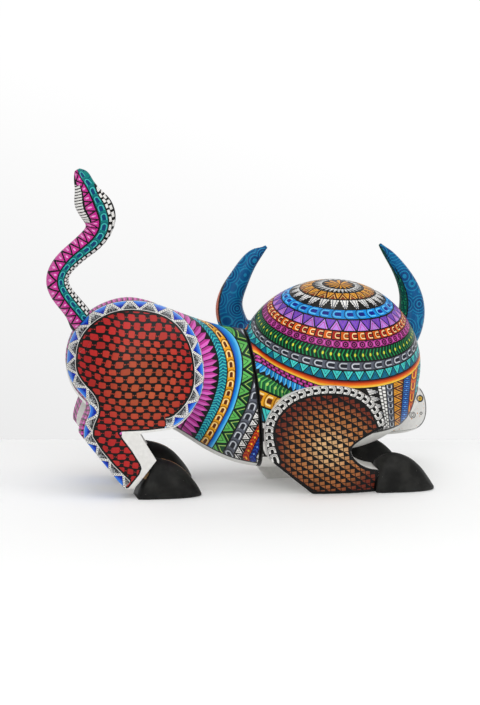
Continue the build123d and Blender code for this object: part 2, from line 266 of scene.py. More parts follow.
def banded(band, along, rows):
    """Painted bands: band counts across them and along runs along them. Each row of rows is
    (motif, cells along, main colour, second colour, accent).

    In each cell a runs from 0 to 1 along the band and b from 0 to 1 across it, so the sizes below are
    shares of a cell."""
    index = floor(band)
    b = fract(band)
    numbers = table(index, [(row[0] / MOTIF_SPAN, row[1] / CELLS_SPAN, 0) for row in rows])
    facts = add("SeparateColor", Color=numbers)
    motif = Wire(facts.outputs[0]) * MOTIF_SPAN
    run = along * (Wire(facts.outputs[1]) * CELLS_SPAN)
    a = fract(run)
    main, second, accent = (table(index, [row[i] for row in rows]) for i in (2, 3, 4))
    cell = floor(run)
    tone = speckle(cell, index) * 0.26 + 0.87
    from_middle = size_of(a - 0.5) * 2
    parity = over(fract(cell * 0.5), 0.25)

    gradient = paint(ramp_up(b, 0.45, 0.9), paint(ramp_up(b, 0.1, 0.5), main, second), accent)

    # Triangles point across the band by turns, each with a line inside its edge.
    inner = b - from_middle
    triangles = coats(
        main,
        (under(b, from_middle), second),
        (under(size_of(inner - 0.36), 0.055), accent),
        (under(size_of(inner + 0.5), 0.05), paint(0.5, main, BLACK)),
        (under(size_of(inner), 0.11), BLACK),
    )

    # Arches are U shapes lying along the band, each one just touching the next.
    bow = length(higher(a - 0.4, 0.0) * 1.35, b - 0.5)
    arches = coats(
        main,
        (under(bow, 0.17), second),
        (near(bow, 0.27, 0.05), accent),
        (near(bow, 0.47, 0.045) * over(a, 0.42), paint(0.85, main, BLACK)),
    )
    next_bow = length(higher(a + 0.3, 0.0) * 0.9, b - 0.5)
    arches = paint(under(next_bow, 0.36) * over(bow, 0.36), arches, paint(0.3, main, BLACK))

    bar = size_of(a - 0.5) - lower(1.0, (0.95 - b) * 2.8) * 0.43
    petals = paint(under(bar, 0.0), BLACK, paint(under(a, 0.5), main, second))
    petals = paint(near(a, 0.5, 0.045) * under(b, 0.75), petals, accent)

    # Strokes are chevrons with a dot at each cell's middle.
    slant = fract(a * 2 + size_of(b - 0.5) * 1.4)
    strokes = coats(
        main,
        (under(slant, 0.45), second),
        (under(slant, 0.14), BLACK),
        (under(length(a - 0.5, b - 0.5), 0.13), accent),
    )

    eye = length((a - 0.5) * 1.15, b - 0.5)
    rings = coats(
        second,
        (under(from_middle, 0.8), main),
        (near(eye, 0.3, 0.08), BLACK),
        (under(eye, 0.12), BLACK),
        (over(from_middle, 0.86) * near(b, 0.5, 0.3), accent),
    )

    shells = coats(
        main,
        (parity, second),
        (near(bow, 0.27, 0.06), accent),
        (over(from_middle, 0.86) + near(bow, 0.12, 0.04), BLACK),
    )

    # Spikes narrow across the band, with ragged sides.
    comb = fract(b * 4) * 0.2
    spikes = paint(under(from_middle, (1 - b) * 0.85 + comb), BLACK, main)
    spikes = paint(under(size_of(from_middle - (1 - b) * 0.45), 0.09), spikes, second)

    lift = fract(b * 2 + 0.02)
    shift = fract(run + floor(b * 2) * 0.5)
    bricks = paint(near(shift, 0.5, 0.36) * near(lift, 0.5, 0.38), BLACK, main)
    bricks = paint(near(shift, 0.42, 0.1) * near(lift, 0.5, 0.22), bricks, accent)

    colour = gradient
    choices = (triangles, arches, petals, strokes, rings, shells, spikes, bricks)
    for kind, picture in enumerate(choices, start=1):
        colour = paint(near(motif, float(kind), 0.5), colour, picture)
    colour = shade(colour, tone)
    line = over(size_of(b - 0.5), 0.43)
    return paint(line, colour, BLACK), 1 - line


def rgb(red, green, blue):
    """A colour given as it looks on screen, 0 to 255, for the shader."""
    linear = []
    for value in (red, green, blue):
        value /= 255
        linear.append(value / 12.92 if value < 0.04045 else ((value + 0.055) / 1.055) ** 2.4)
    return (*linear, 1)


MAGENTA, PINK, PLUM = rgb(180, 50, 140), rgb(220, 100, 190), rgb(90, 16, 70)
TEAL, AQUA, DEEP_TEAL = rgb(4, 116, 146), rgb(70, 208, 202), rgb(2, 66, 100)
GOLD, BROWN, CREAM = rgb(224, 154, 26), rgb(88, 36, 10), rgb(248, 224, 160)
SKY, PALE_SKY, NAVY = rgb(10, 136, 214), rgb(96, 196, 244), rgb(10, 30, 130)
LEAF, DARK_GREEN, LIME = rgb(96, 184, 88), rgb(10, 96, 52), rgb(176, 214, 104)
GREY, PALE_GREY, SLATE = rgb(88, 92, 104), rgb(206, 210, 216), rgb(34, 36, 44)
PURPLE, LILAC = rgb(112, 62, 182), rgb(184, 130, 220)
ORANGE, RED = rgb(214, 92, 14), rgb(172, 34, 16)
COBALT, PALE_BLUE = rgb(12, 74, 178), rgb(106, 170, 236)
YELLOW = rgb(246, 200, 40)


# -------------------- shapes
def smooth_line(points, count):
    """A natural cubic spline through the points, at count places."""
    points = np.array(points, float)
    steps = np.linalg.norm(np.diff(points, axis=0), axis=1)
    knots = np.concatenate([[0], np.cumsum(steps)])
    size = len(points)
    matrix = np.zeros((size, size))
    right_side = np.zeros_like(points)
    matrix[0, 0] = matrix[-1, -1] = 1
    for i in range(1, size - 1):
        before, after = steps[i - 1], steps[i]
        matrix[i, i - 1 : i + 2] = before, 2 * (before + after), after
        right_side[i] = 6 * ((points[i + 1] - points[i]) / after - (points[i] - points[i - 1]) / before)
    bends = np.linalg.solve(matrix, right_side)
    where = np.linspace(0, knots[-1], count)
    k = np.clip(np.searchsorted(knots, where, side="right") - 1, 0, size - 2)
    h = steps[k][:, None]
    p = ((knots[k + 1] - where)[:, None]) / h
    q = 1 - p
    curve = (p**3 - p) * bends[k] + (q**3 - q) * bends[k + 1]
    return p * points[k] + q * points[k + 1] + curve * h * h / 6


def distance_to(points, line):
    """Each point's distance to a line of points, and how far along the line the nearest place is."""
    best = np.full(len(points), 1e9)
    along = np.zeros(len(points))
    travelled = 0.0
    for start, end in zip(line[:-1], line[1:]):
        step = end - start
        span = np.linalg.norm(step)
        if span < 1e-9:
            continue
        share = np.clip((points - start) @ step / span**2, 0, 1)
        gap = np.linalg.norm(points - start - share[:, None] * step, axis=1)
        closer = gap < best
        best[closer] = gap[closer]
        along[closer] = travelled + share[closer] * span
        travelled += span
    return best, along


def carved(name, node, body, grain, smoothing=3):
    """The CAD node's shape as an even mesh with softened edges, standing for the node."""
    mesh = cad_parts[node].data.copy()
    bm = bmesh.new()
    bm.from_mesh(mesh)
    bmesh.ops.remove_doubles(bm, verts=bm.verts, dist=1e-6)
    bm.to_mesh(mesh)
    bm.free()
    mesh.materials.clear()
    blank = bpy.data.objects.new(name + "_blank", mesh)
    bpy.context.collection.objects.link(blank)
    even = blank.modifiers.new("even", "REMESH")
    even.mode = "VOXEL"
    even.voxel_size = grain * MM
    soften = blank.modifiers.new("soften", "SMOOTH")
    soften.factor = 0.5
    soften.iterations = smoothing
    bpy.context.view_layer.update()
    shaped = bpy.data.meshes.new_from_object(blank.evaluated_get(bpy.context.evaluated_depsgraph_get()))
    bpy.data.objects.remove(blank)
    shaped.name = name
    piece = bpy.data.objects.new(name, shaped)
    bpy.context.collection.objects.link(piece)
    shaped.shade_smooth()
    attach(piece, body)
    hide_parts(node)
    return piece


def built(name, body, vertices, faces, node):
    """A piece made of design-frame vertices, standing for a CAD node."""
    mesh = bpy.data.meshes.new(name)
    mesh.from_pydata(((np.array(vertices) + SLIDE) * MM).tolist(), [], faces)
    mesh.shade_smooth()
    piece = bpy.data.objects.new(name, mesh)
    bpy.context.collection.objects.link(piece)
    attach(piece, body)
    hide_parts(node)
    return piece


def spots(piece):
    """The piece's vertices in the design frame, in millimetres, and their normals."""
    count = len(piece.data.vertices)
    flat = np.empty(count * 3)
    piece.data.vertices.foreach_get("co", flat)
    normals = np.empty(count * 3)
    piece.data.vertices.foreach_get("normal", normals)
    return flat.reshape(-1, 3) / MM - SLIDE, normals.reshape(-1, 3)


def camera_back():
    """The direction from what the camera aims at to the camera."""
    level = cos(CAMERA_RISE)
    return np.array([sin(CAMERA_TURN) * level, -cos(CAMERA_TURN) * level, sin(CAMERA_RISE)])


def pattern_place(points):
    """Where points fall on the flat pattern, in millimetres."""
    back = camera_back()
    right = np.array([cos(CAMERA_TURN), sin(CAMERA_TURN), 0])
    up = np.cross(back, right)
    offset = points - CAMERA_TARGET
    near_scale = 1 / (1 - offset @ back / CAMERA_DISTANCE)
    return PATTERN_SHIFT + np.column_stack([offset @ right, offset @ up]) * near_scale[:, None]


def mirrored(points):
    """The points with those on the bull's left moved to the same place on its right."""
    moved = points.copy()
    moved[:, 1] = -np.abs(points[:, 1])
    return moved


def depth_inside(points, line):
    """Each flat point's distance to a closed line, negative outside it."""
    gap, _ = distance_to(points, line)
    crossings = np.zeros(len(points), int)
    for (x1, z1), (x2, z2) in zip(line[:-1], line[1:]):
        if z1 == z2:
            continue
        between = (points[:, 1] < z1) != (points[:, 1] < z2)
        crossings += between & (points[:, 0] < x1 + (points[:, 1] - z1) * (x2 - x1) / (z2 - z1))
    return np.where(crossings % 2 == 1, gap, -gap)


def store(piece, **fields):
    """Keep named numbers on each vertex."""
    for name, values in fields.items():
        attribute = piece.data.attributes.new(name, "FLOAT", "POINT")
        attribute.data.foreach_set("value", np.asarray(values, np.float32))


def finish_piece(piece, look):
    piece.data.materials.clear()
    piece.data.materials.append(look)


def count_bands(distance, edges):
    """Which band a distance falls in, with how far across it as the fraction."""
    return np.interp(distance, edges, np.arange(len(edges)))


def neck_distance(points):
    """How far points are from the joint between the torso and the head."""
    across = np.array([cos(NECK_LEAN), 0, -sin(NECK_LEAN)])
    return np.abs((points - [NECK_X, 0, NECK_Z]) @ across)


# -------------------- torso
# The rear leg's outline on the torso's side, which the bands follow, from behind over the rump and down.
LEG_TOP = (-99, 154.5)
LEG_BACK = [
    (-140, 61), (-136, 73), (-146, 90), (-149.5, 108), (-147.5, 122), (-141, 136), (-123, 150), LEG_TOP,
]
LEG_FRONT = [LEG_TOP, (-77, 151.5), (-61, 143), (-50, 127), (-45.5, 103), (-56, 66), (-60, 48), (-61, 30)]
# The painted thigh on the pattern: its ribbon's outer edge from the heel over the rump, then the way back.
RIBBON_HEEL = [(-100.4, -2.8), (-114.1, 10.4), (-124.5, 23.1), (-133.3, 36.6)]
RIBBON_ARCH = [
    (-133.3, 43.7), (-131.6, 51.2), (-128.4, 60.4), (-130.2, 66.7), (-134.8, 72.4), (-139.9, 78.2),
    (-143.7, 83.9), (-146.3, 90.8), (-146.8, 102.3), (-145.1, 113.7), (-140.5, 124.1), (-134.2, 132.1),
    (-125, 139.6), (-113, 145.3), (-100.4, 147.8), (-87.7, 147.8), (-74, 145.3), (-62.5, 140.7),
    (-53.3, 133.8), (-46.4, 125.2), (-41.2, 114.9), (-38.4, 104.6), (-37, 95.4), (-36.9, 83.9),
    (-38.4, 74.7), (-42.4, 65.5), (-48.1, 57.5), (-54.4, 51.2), (-60.2, 47.4), (-67.1, 45.7),
]
THIGH_RETURN = [
    (-83.1, 43.7), (-102.6, 42.8), (-104.6, 41.7), (-101.5, 36.8), (-94.6, 27.7), (-87.7, 16.8),
    (-86.6, 13.3), (-88.3, 8.7), (-94.6, 0.7), (-97.1, -2.2), (-100.4, -2.8),
]
RIBBON_WIDE, RIBBON_CELL = 7.6, 16.6
SCALE_TILT, SCALE_WIDE, SCALE_TALL = radians(-4), 8.3, 5.7
THIGH_MIDDLE, THIGH_REACH = (-94, 92), (50, 58)
BEAD_LONG, ROPE_WIDE = 4.2, 2.6
# The torso's cross-sections: x, the middle's height, half the height and half the width.
SECTIONS = np.array([
    (-149, 105, 2, 2), (-142, 105, 25, 23), (-130, 105, 39, 37), (-115, 105, 47.5, 45),
    (-97, 105, 50.5, 48), (-69, 98.5, 48.5, 47.5), (-43, 85, 51, 48), (-17, 74.5, 54, 48), (8, 70, 55, 50),
])
TORSO_EDGES = [0, 13.6, 20.6, 27.3, 31.8, 41, 49.5, 56, 61.5, 66.5, 76, 92, 200]
TORSO_ROWS = [
    (PETALS, 13, MAGENTA, PINK, PINK),
    (STROKES, 15, TEAL, AQUA, DEEP_TEAL),
    (ARCHES, 10.5, GOLD, BROWN, CREAM),
    (GRADIENT, 1, COBALT, SKY, PALE_SKY),
    (TRIANGLES, 8, rgb(4, 70, 38), LEAF, LIME),
    (ARCHES, 11, GREY, SLATE, PALE_GREY),
    (TRIANGLES, 16, BLACK, WHITE, WHITE),
    (STROKES, 18, RED, ORANGE, YELLOW),
    (STROKES, 18, NAVY, COBALT, PALE_BLUE),
    (BRICKS, 30, WHITE, BLACK, WHITE),
    (TRIANGLES, 13, MAGENTA, PLUM, PINK),
    (GRADIENT, 1, TEAL, DEEP_TEAL, AQUA),
]


def thigh_fields(piece, shift=0):
    """Where the thigh's paint begins, how far its ribbon's outer edge is, and how far along the ribbon.
    Past the ribbon's two ends the edge counts as further away, so that no ribbon is drawn there."""
    end_reach, line_half, further = 0.4, 1.5, 9
    points, _ = spots(piece)
    seen = pattern_place(mirrored(points - [shift, 0, 0]))
    ribbon = np.concatenate([np.array(RIBBON_HEEL, float), smooth_line(RIBBON_ARCH, 160)])
    outline = np.concatenate([ribbon, np.array(THIGH_RETURN, float)])
    edge, along = distance_to(seen, ribbon)
    past_end = (along > along.max() - end_reach) | (along < end_reach)
    edge += further * (past_end & (edge > line_half))
    store(piece, inside=depth_inside(seen, outline), edge=edge, along=along)


def tilted_cells(x, z, tilt, wide, tall, sway):
    """How many cells across and up a point is in a tilted grid whose lines sway a little."""
    across = (x * cos(tilt) + z * sin(tilt)) / wide + sway
    rise = (z * cos(tilt) - x * sin(tilt)) / tall + sway
    return across, rise


def draw_scales(x, z):
    """Red scales in a black net, browner at the thigh's middle. Returns their colour and where they are."""
    sway = cloud(joined(x, 0.0, z), 0.03) * 1.6
    across, rise = tilted_cells(x, z, SCALE_TILT, SCALE_WIDE, SCALE_TALL, sway)
    row = floor(rise)
    shift = fract(row * 0.5)
    a = size_of(fract(across + shift) - 0.5)
    b = size_of(fract(rise) - 0.5)
    from_middle = length((x - THIGH_MIDDLE[0]) / THIGH_REACH[0], (z - THIGH_MIDDLE[1]) / THIGH_REACH[1])
    red = paint(ramp_up(from_middle, 0.1, 0.95), rgb(180, 82, 50), rgb(182, 38, 38))
    tone = speckle(floor(across + shift), row) * 0.3 + 0.82
    wide, tall = a * a / 0.115, b * b / 0.17
    body = under(wide * wide + tall * tall, 1.0)
    tips = under(a / 0.5 + b / 0.36, 1.0)
    scale = higher(body, tips)
    colour = paint(scale, BLACK, shade(red, tone))
    return paint(near(a, 0.34, 0.022) * under(b, 0.3), colour, BLACK), scale


def draw_ribbon(x, z, edge, along):
    """Blue and grey triangles by turns, with a white line between them that has black dots along it."""
    c = edge / RIBBON_WIDE
    cell = along / RIBBON_CELL
    peak = 1 - size_of(fract(cell) - 0.5) * 2
    blue = paint(ramp_up(c, 0.0, 0.6), rgb(66, 146, 238), rgb(16, 48, 196))
    grey = paint(ramp_up(c, 0.2, 1.0), rgb(206, 208, 210), rgb(84, 88, 94))
    shreds = over(cloud(joined(x, 0.0, z), 0.9, 3.0), 0.5) * ramp_up(c, 0.3, 0.6)
    blue = paint(shreds, blue, rgb(10, 30, 120))
    grey = paint(shreds, grey, rgb(20, 20, 22))
    ribbon = paint(under(c, peak), grey, blue)
    slope = size_of(c - peak)
    return coats(
        ribbon,
        (under(slope, 0.19), WHITE),
        (near(slope, 0.19, 0.05) * near(fract(cell * 16), 0.5, 0.3), BLACK),
        (under(slope, 0.05) * near(fract(cell * 12), 0.5, 0.25), BLACK),
        (under(c, 0.09) + over(c, 0.93), WHITE),
    )


def draw_thigh(x, z):
    """The thigh's scales inside its ribbon, with black lines between them and round the outline."""
    edge = field("edge")
    colour, scale = draw_scales(x, z)
    colour = coats(
        colour,
        (under(edge, RIBBON_WIDE), draw_ribbon(x, z, edge, field("along"))),
        (near(edge, RIBBON_WIDE + 0.7, 0.8) + under(edge, 0.4), BLACK),
        (under(field("inside"), 1.3) * over(edge, 4.0), BLACK),
    )
    return colour, scale


def draw_beads():
    """Pink beads in a row on black."""
    bead = fract(field("along") / BEAD_LONG)
    return paint(near(bead, 0.5, 0.38), BLACK, paint(near(bead, 0.4, 0.12), MAGENTA, PINK))


def draw_rope():
    """A rope of pink beads round the thigh, black beyond it."""
    return paint(over(field("edge"), ROPE_WIDE - 0.5), draw_beads(), BLACK)


def section_at(x):
    """The torso's middle height, half height and half width at each x."""
    return (np.interp(x, SECTIONS[:, 0], SECTIONS[:, i]) for i in (1, 2, 3))


def torso_fields(piece):
    """The bands by their distance from the leg's outline on the torso's side, the angle round the thigh,
    how far round from the belly's middle, and where the rump's own pattern is."""
    thigh_fields(piece)
    points, _ = spots(piece)
    x, y, z = points.T
    outline = np.concatenate([smooth_line(LEG_BACK, 60)[:-1], smooth_line(LEG_FRONT, 90)])
    middle, high, wide = section_at(outline[:, 0])
    rise = np.clip((outline[:, 1] - middle) / high, -0.98, 0.98)
    line = np.column_stack([outline[:, 0], -wide * np.sqrt(1 - rise**2), outline[:, 1]])
    gap, _ = distance_to(mirrored(points), line)
    # Above the flank the outer bands lean back, and below it all of them draw together.
    gap -= 0.1 * np.maximum(z - 85, 0) * np.clip((gap - 27) / 8, 0, 1)
    gap += 2.3 * np.clip((70 - z) / 30, 0, 1) * np.clip((gap - 11) / 6, 0, 1)
    store(piece, band=count_bands(gap, TORSO_EDGES), turn=np.arctan2(z - 95, x + 100))
    middle, high, wide = section_at(x)
    belly = np.degrees(np.arctan2(np.abs(y) / wide, (middle - z) / high))
    across, up = pattern_place(mirrored(points)).T
    store(piece, belly=belly, neck=neck_distance(points), rump=np.minimum(-60 - across, up - 40))


def draw_crown():
    """Over the rump: a narrow rope of pink beads along the thigh, with teal bars and pink dashes above."""
    edge, along = field("edge"), field("along")
    bars_end, row_start = 12.0, 12.8
    bars = paint(near(fract(along / 3.1), 0.5, 0.4), DEEP_TEAL, AQUA)
    dashes = paint(near(fract(along / 5.0), 0.5, 0.4), BLACK, MAGENTA)
    return coats(
        draw_rope(),
        (over(edge, ROPE_WIDE), bars),
        (over(edge, bars_end), BLACK),
        (over(edge, row_start), dashes),
    )


def draw_torso():
    x, _, z = place()
    belly_white, belly_line, neck_line = 24, 27, 1.7
    colour, height = banded(field("band"), field("turn"), TORSO_ROWS)
    colour = paint(over(field("rump"), 0.0), colour, draw_crown())
    thigh, _ = draw_thigh(x, z)
    return coats(
        colour,
        (over(field("inside"), 0.0), thigh),
        (under(field("belly"), belly_line), BLACK),
        (under(field("belly"), belly_white), WHITE),
        (under(field("neck"), neck_line), BLACK),
    ), height


def move_points(piece, points):
    """Put the piece's vertices at these design-frame points."""
    piece.data.vertices.foreach_set("co", ((points + SLIDE) * MM).ravel())
    piece.data.update()


def ease(share):
    """0 below 0 and 1 above 1, smooth between."""
    share = np.clip(share, 0, 1)
    return share * share * (3 - 2 * share)


def lower_top(piece, start, top, drop):
    """Round the rump by lowering what is above a height, most at its top."""
    rump_front, rump_blend = -20, 40
    points, _ = spots(piece)
    share = ease((points[:, 2] - start) / (top - start))
    points[:, 2] -= drop * share * ease((rump_front - points[:, 0]) / rump_blend)
    move_points(piece, points)


torso = carved("torso_carving", "torso", "carving", 1.1)
lower_top(torso, 132, 155, 1.3)
torso_fields(torso)
finish_piece(torso, material("torso_paint", draw_torso))


# -------------------- head
def ball_direction(points):
    """Directions from the ball's middle, as if the ball were round."""
    scaled = (points - BALL_CENTRE) / BALL_RADII
    return scaled / np.linalg.norm(scaled, axis=1)[:, None]


# The rings' edges, in degrees from the pole.
RING_EDGES = [
    0, 7, 12, 19.5, 28.6, 36.8, 45.7, 52.1, 57.5, 66.2, 72.2, 78.9, 84, 89, 96.5, 105, 114, 122, 130, 180,
]
# The fan of bands beside the muzzle on the pattern: where each edge meets the headband, and its other end.
FAN_TOP = [
    (92.5, 77.3), (101.7, 79.9), (108.3, 81.4), (114.4, 83.5), (123.3, 87.5), (129.2, 90.6),
    (134.3, 94.7), (137.9, 98.8),
]
FAN_END = [
    (105.3, 51.8), (108.3, 49.8), (111.4, 48.3), (115.7, 46.2), (120.1, 48.3), (125.9, 53.4),
    (129.8, 58), (133.3, 74.3),
]
# The edge of the white face on the pattern, as heights and how far across it is at each.
FACE_HEIGHTS = [43.5, 44.5, 46.5, 53.9, 60, 70.2, 77.3, 82.4]
FACE_EDGE = [109.3, 113.4, 118.5, 125.7, 129.2, 132.6, 134.9, 137.4]
RING_ROWS = [
    (PETALS, 12, BROWN, GOLD, GOLD),
    (SPIKES, 26, WHITE, GREY, WHITE),
    (TRIANGLES, 18, rgb(134, 58, 16), rgb(234, 164, 54), rgb(250, 216, 130)),
    (SPIKES, 22, WHITE, GREY, WHITE),
    (ARCHES, 26, SKY, NAVY, PALE_SKY),
    (TRIANGLES, 30, LILAC, PURPLE, MAGENTA),
    (SHELLS, 52, RED, ORANGE, CREAM),
    (RINGS, 56, MAGENTA, PLUM, PINK),
    (STROKES, 64, rgb(4, 46, 26), rgb(24, 138, 76), rgb(214, 214, 60)),
    (ARCHES, 44, GREY, SLATE, PALE_GREY),
    (TRIANGLES, 50, TEAL, AQUA, DEEP_TEAL),
    (GRADIENT, 1, rgb(134, 18, 10), rgb(236, 96, 16), rgb(255, 210, 70)),
    (BRICKS, 90, MAGENTA, PLUM, PINK),
    (PETALS, 112, SKY, PALE_SKY, NAVY),
    (STROKES, 80, DARK_GREEN, LEAF, LIME),
    (ARCHES, 78, GOLD, BROWN, CREAM),
    (TRIANGLES, 56, TEAL, AQUA, DEEP_TEAL),
    (BRICKS, 80, WHITE, BLACK, WHITE),
    (BRICKS, 80, WHITE, BLACK, WHITE),
]
FAN_ROWS = [
    (SPIKES, 8, WHITE, GREY, WHITE),
    (BRICKS, 16, WHITE, BLACK, WHITE),
    (ARCHES, 9, GREY, SLATE, PALE_GREY),
    (TRIANGLES, 7, rgb(138, 50, 16), rgb(230, 156, 40), rgb(250, 206, 96)),
    (STROKES, 14, NAVY, SKY, PALE_BLUE),
    (ARCHES, 5, ORANGE, RED, YELLOW),
    (TRIANGLES, 10, AQUA, TEAL, DEEP_TEAL),
]
# The near eye, nostril and mark have places on the pattern, the far ones in the design frame.
SEEN_EYE, SEEN_NOSTRIL, SEEN_MARK = (135.9, 69.4), (130, 56.2), (136.8, 57.6)
FAR_EYE, FAR_NOSTRIL = (85.3, 92.1, 59), (76.4, 78.1, 46.4)


def ring_angle(points):
    """The angle from the rings' pole, with the rings bent where they turn away from the front."""
    axis = RING_AXIS / np.linalg.norm(RING_AXIS)
    way = ball_direction(points)
    angle = np.degrees(np.arccos(np.clip(way @ axis, -1, 1)))
    facing = np.cross(axis, np.cross(RING_FRONT, axis))
    facing /= np.linalg.norm(facing)
    flat = way - (way @ axis)[:, None] * axis
    turned = flat @ facing / np.maximum(np.linalg.norm(flat, axis=1), 1e-6)
    bend = np.interp(angle, [0, 10, 24, 37, 50, 60, 82, 180], [0, -2.5, -4.2, -0.4, 3.5, 5.85, 8, 17])
    angle += bend * (1 - turned)
    return angle + 6 * np.clip((45 - points[:, 0]) / 45, 0, 1) * np.clip((angle - 68) / 14, 0, 1.5)


def fan_count(seen):
    """How many of the fan's bands, and what share of the next, lie left of each place on the pattern."""
    edges = []
    for (top_x, top_z), (end_x, end_z) in zip(FAN_TOP, FAN_END):
        share = (top_z - seen[:, 1]) / (top_z - end_z)
        edges.append(top_x + (end_x - top_x) * np.clip(share, -0.3, 1.1))
    pairs = zip(edges[:-1], edges[1:])
    return sum(np.clip((seen[:, 0] - left) / (right - left), 0, 1) for left, right in pairs)


def face_depth(points, seen):
    """How far inside the white face points are: off the ball's surface, or past its edge on the pattern."""
    x, y, z = points.T
    ball_mean, face_step, face_top, outside_it = 65, 2.6, 112, -5
    unstretched = points.copy()
    ahead = np.maximum(x - BALL_CENTRE[0], 0)
    unstretched[:, 0] -= ahead - ahead / (1 + head_stretch(points))
    off_ball = (np.linalg.norm((unstretched - BALL_CENTRE) / BALL_RADII, axis=1) - 1) * ball_mean
    chest = (x < 62) | ((x < 84) & (y < 40)) | (y < 12)
    face = np.where(chest, outside_it, np.minimum(off_ball - face_step, face_top - z))
    level = (seen[:, 1] > 40) & (seen[:, 1] < 82)
    beyond = np.where(level, seen[:, 0] - np.interp(seen[:, 1], FACE_HEIGHTS, FACE_EDGE), outside_it)
    return np.maximum(face, np.clip(beyond, outside_it, -outside_it))


def head_fields(piece):
    """Rings and fan by band, the white face, and which faces turn down or away from the camera."""
    points, normals = spots(piece)
    seen = pattern_place(points)
    downward = normals[:, 2] * 100 + np.maximum(points[:, 2] - 60, 0) * 5
    store(piece, ring=count_bands(ring_angle(points), RING_EDGES), fan=fan_count(seen))
    store(piece, reach=(100 - seen[:, 1]) / 45, seen_x=seen[:, 0], seen_z=seen[:, 1])
    store(piece, face=face_depth(points, seen), rim=normals @ camera_back())
    store(piece, under=downward, neck=neck_distance(points))


def draw_rings(x, y, z):
    """The ball's rings, and the fan of bands in front below them."""
    axis = RING_AXIS / np.linalg.norm(RING_AXIS)
    first = np.cross(RING_FRONT, axis)
    first /= np.linalg.norm(first)
    second = np.cross(axis, first)
    scaled = [(value - float(BALL_CENTRE[i])) / float(BALL_RADII[i]) for i, value in enumerate((x, y, z))]
    across, ahead = (sum(scaled[i] * float(way[i]) for i in range(3)) for way in (first, second))
    turn = calc("ARCTAN2", across, ahead) / (2 * pi) + 0.5
    headband_end, fan_back = 12.0, 70
    in_fan = over(field("ring"), headband_end) * over(x, fan_back)
    band = paint_number(in_fan, field("ring"), field("fan") + len(RING_ROWS))
    return banded(band, paint_number(in_fan, turn, field("reach")), RING_ROWS + FAN_ROWS)


def draw_face(x, y, z, white):
    """The white face: freckles, an eye and nostril on each side, a dark line round its visible edge."""
    point = joined(x, y, z)
    patches = cloud(point, 0.3)
    freckles = near(cells(point, 0.16), 0.22, 0.03) * over(cloud(point, 0.09), 0.55) * over(patches, 0.45)
    dots = under(cells(point, 0.34, jitter=0.9), 0.2) * over(patches, 0.5)
    face = paint(dots, paint(freckles, white, BLACK), rgb(214, 140, 40))
    across, rise, rim = field("seen_x"), field("seen_z"), field("rim")
    near_side = over(rim, -0.3) * over(x, 108) * over(y, -60)
    eye, nostril, mark = (length(across - u, rise - v) for u, v in (SEEN_EYE, SEEN_NOSTRIL, SEEN_MARK))
    eye = paint_number(near_side, away(x, y, z, FAR_EYE), eye)
    nostril = paint_number(near_side, away(x, y, z, FAR_NOSTRIL), nostril)
    mark = paint_number(near_side, 9.0, mark)
    for radius, colour in ((2.9, BLACK), (1.8, rgb(206, 160, 14)), (0.5, BLACK)):
        face = paint(under(eye, radius), face, colour)
    rings = near(nostril, 2.3, 0.28) + near(nostril, 1.2, 0.25) + near(mark, 0.9, 0.3)
    face = paint(rings, face, rgb(60, 58, 54))
    on_edge = higher(over(across, 135.6), under(rise, 48)) * over(x, 118)
    return paint(near(rim, 0.12, 0.12) * on_edge, face, BLACK)


def draw_head():
    x, y, z = place()
    white = shade(WHITE, 0.97)
    face_line, face_start, belly_line, belly_start, neck_line = -1.0, -0.1, -70, -73, 1.5
    colour, height = draw_rings(x, y, z)
    return coats(
        colour,
        (over(field("face"), face_line), BLACK),
        (over(field("face"), face_start), draw_face(x, y, z, white)),
        (under(field("under"), belly_line), BLACK),
        (under(field("under"), belly_start), white),
        (under(field("neck"), neck_line), BLACK),
    ), height


def shape_head(piece):
    """Draw the ball in a little at its front and the muzzle out a little below it."""
    points, _ = spots(piece)
    points[:, 0] += np.maximum(points[:, 0] - BALL_CENTRE[0], 0) * head_stretch(points)
    move_points(piece, points)


def head_stretch(points):
    """The head's forward stretch, as a share of the distance from the ball's middle."""
    above, below, start, blend = -0.05, 0.045, 82, 20
    return above + (below - above) * ease((start - points[:, 2]) / blend)


head = carved("head_carving", "head", "carving", 1.1)
shape_head(head)
head_fields(head)
finish_piece(head, material("head_paint", draw_head))


# -------------------- legs
# The front leg's outline, as x and z: the part with a ribbon, from knee to shoulder, then the throat.
FRONT_OUTLINE = [
    (9, 27), (4, 45), (4.5, 59), (11, 72), (24, 83.5), (40, 89), (57, 90), (73, 87), (86, 79), (95, 67),
    (100, 55),
]
FRONT_THROAT = [(100, 55), (87, 49), (76, 38), (77.5, 28), (86, 21.5), (95, 19.5)]
WEAVE_TILT, WEAVE_WIDE, WEAVE_TALL = radians(7), 4.2, 3.75
WEAVE_MIDDLE, WEAVE_REACH = (54, 38), 50
LOOPS_WIDE, LOOP_LONG = 6.4, 6.3


def store_outward(piece):
    """Keep how much each face turns away from the bull's middle. Returns the points and normals."""
    points, normals = spots(piece)
    store(piece, outward=normals[:, 1] * np.sign(points[:, 1]))
    return points, normals


def rear_leg(side, shift):
    piece = carved(f"rear_{side}_leg_carving", f"rear_{side}_leg", "carving", 0.9)
    lower_top(piece, 118, 154, 7)
    thigh_fields(piece, shift)
    _, normals = store_outward(piece)
    store(piece, backward=-normals[:, 0])
    return piece


